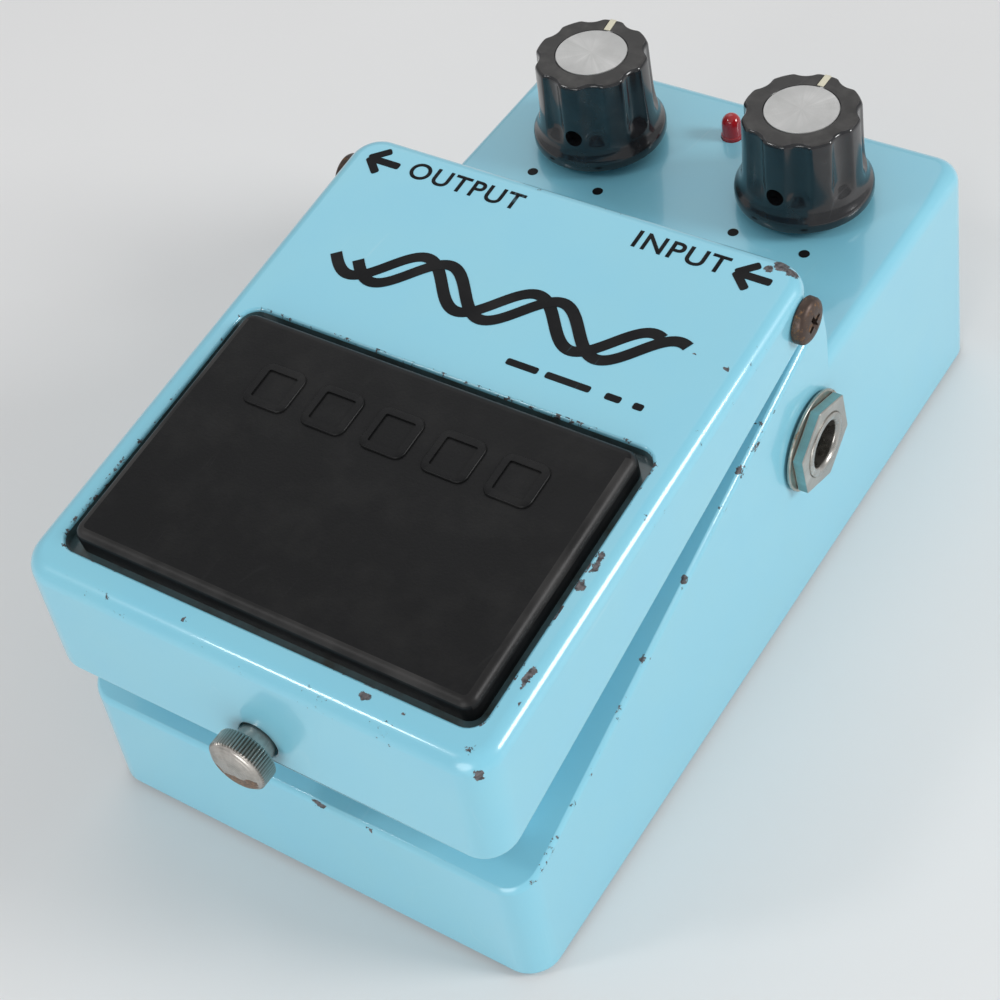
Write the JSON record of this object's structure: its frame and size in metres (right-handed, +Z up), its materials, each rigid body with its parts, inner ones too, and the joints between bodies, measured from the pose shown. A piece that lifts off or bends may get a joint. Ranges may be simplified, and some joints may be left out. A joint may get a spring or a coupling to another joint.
{
  "type": "guitar effects pedal",
  "caption": "Compact foot-operated guitar effects pedal: sloping sprung treadle over a cast case, rear control deck with two knobs, side signal jacks and a thumbscrew hatch.",
  "frame": {"origin": "centre of the underside of the rubber base sheet, on the floor", "axes": "+Z up, +Y from the thumbscrew end towards the knobs, +X towards the input jack"},
  "size_m": [0.0736, 0.1344, 0.0551],
  "materials": {
    "blue_paint": "gloss, chipped",
    "zinc_steel": "satin",
    "black_rubber": "matt",
    "natural_nylon": "satin",
    "black_plastic": "gloss",
    "red_plastic": "gloss",
    "board_laminate": "satin",
    "board_film": "matt",
    "chip_epoxy": "matt",
    "capacitor_sleeve": "gloss",
    "capacitor_film": "gloss",
    "resistor_body": "satin",
    "trimmer_blue": "satin",
    "battery_case": "satin",
    "wire_jacket": "satin",
    "foam": "matt foam",
    "nickel": "worn",
    "spring_steel": "satin",
    "brushed_aluminium": "spun",
    "dark_steel": "worn",
    "red_lens": "gloss",
    "cream_paint": "satin"
  },
  "bodies": {
    "case": {"housing": "blue_paint", "bottom_plate": "zinc_steel", "bottom_rubber": "black_rubber", "bottom_screws": "zinc_steel", "hinge_bushings": "natural_nylon", "guide_bush": "natural_nylon", "spring_seat": "black_rubber", "pedal_bumpers": "black_rubber", "footswitch_body": "black_plastic", "footswitch_nut": "nickel", "circuit_board": "board_laminate", "board_screws": "zinc_steel", "insulating_sheet": "board_film", "integrated_circuits": "chip_epoxy", "electrolytic_capacitors": "capacitor_sleeve", "film_capacitors": "capacitor_film", "resistors": "resistor_body", "trimmers": "trimmer_blue", "battery": "battery_case", "battery_snap": "black_plastic", "battery_leads": "wire_jacket", "battery_pad": "foam", "output_jack_sleeve": "nickel", "output_jack_body": "black_plastic", "output_jack_contacts": "spring_steel", "output_jack_nut": "nickel", "output_jack_washer": "nickel", "input_jack_sleeve": "nickel", "input_jack_body": "black_plastic", "input_jack_contacts": "spring_steel", "input_jack_nut": "nickel", "input_jack_washer": "nickel", "dc_jack_body": "black_plastic", "dc_jack_pin": "nickel", "dc_jack_nut": "nickel", "pot_left_body": "zinc_steel", "pot_right_body": "zinc_steel", "pot_nuts": "nickel", "pot_washers": "nickel", "led_lens": "red_lens", "led_holder": "black_rubber"},
    "pedal_pivot": {"hinge_screws": "dark_steel", "pedal_spring": "spring_steel"},
    "pedal": {"pedal_plate": "blue_paint", "pedal_pad": "black_rubber"},
    "thumb_carrier": {"thumbscrew_clip": "spring_steel"},
    "thumb_head": {"thumbscrew": "nickel"},
    "switch_plunger": {"footswitch_plunger": "red_plastic"},
    "control_left": {"knob_left": "black_plastic", "knob_cap_left": "brushed_aluminium", "pointer_left": "cream_paint", "set_screw_left": "dark_steel", "pot_shaft_left": "zinc_steel"},
    "control_right": {"knob_right": "black_plastic", "knob_cap_right": "brushed_aluminium", "pointer_right": "cream_paint", "set_screw_right": "dark_steel", "pot_shaft_right": "zinc_steel"}
  },
  "joints": [
    {"name": "pedal_open", "type": "hinge", "parent": "case", "child": "pedal_pivot", "pos_m": [0, 0.0106, 0.0499], "axis": [-1, 0, 0], "range_deg": [0, 92]},
    {"name": "pedal_press", "type": "hinge", "parent": "pedal_pivot", "child": "pedal", "pos_m": [0, 0.0106, 0.0499], "axis": [1, 0, 0], "range_deg": [0, 2.6], "stiffness_Nm_per_rad": 11, "springref_deg": -2.01, "deforming": ["pedal_spring"]},
    {"name": "thumbscrew_travel", "type": "slide", "parent": "pedal", "child": "thumb_carrier", "axis": [0, 1, 0], "range_m": [0, 0.0015]},
    {"name": "thumbscrew_turn", "type": "hinge", "parent": "thumb_carrier", "child": "thumb_head", "pos_m": [0, -0.066, 0.0323], "axis": [0, 1, 0], "range_deg": [0, 771.5]},
    {"name": "switch_plunge", "type": "slide", "parent": "case", "child": "switch_plunger", "axis": [0, 0, -1], "range_m": [0, 0.0027]},
    {"name": "control_left_turn", "type": "hinge", "parent": "case", "child": "control_left", "pos_m": [-0.0167, 0.0454, 0.045], "axis": [0, 0, 1], "range_deg": [-157, 143]},
    {"name": "control_right_turn", "type": "hinge", "parent": "case", "child": "control_right", "pos_m": [0.0167, 0.0454, 0.045], "axis": [0, 0, 1], "range_deg": [-150, 150]}
  ],
  "couplings": [
    {"joint": "thumbscrew_turn", "follows": "thumbscrew_travel", "rad_per_m": 8976},
    {"joint": "switch_plunge", "follows": "pedal_press", "m_per_rad": 0.0588}
  ]
}
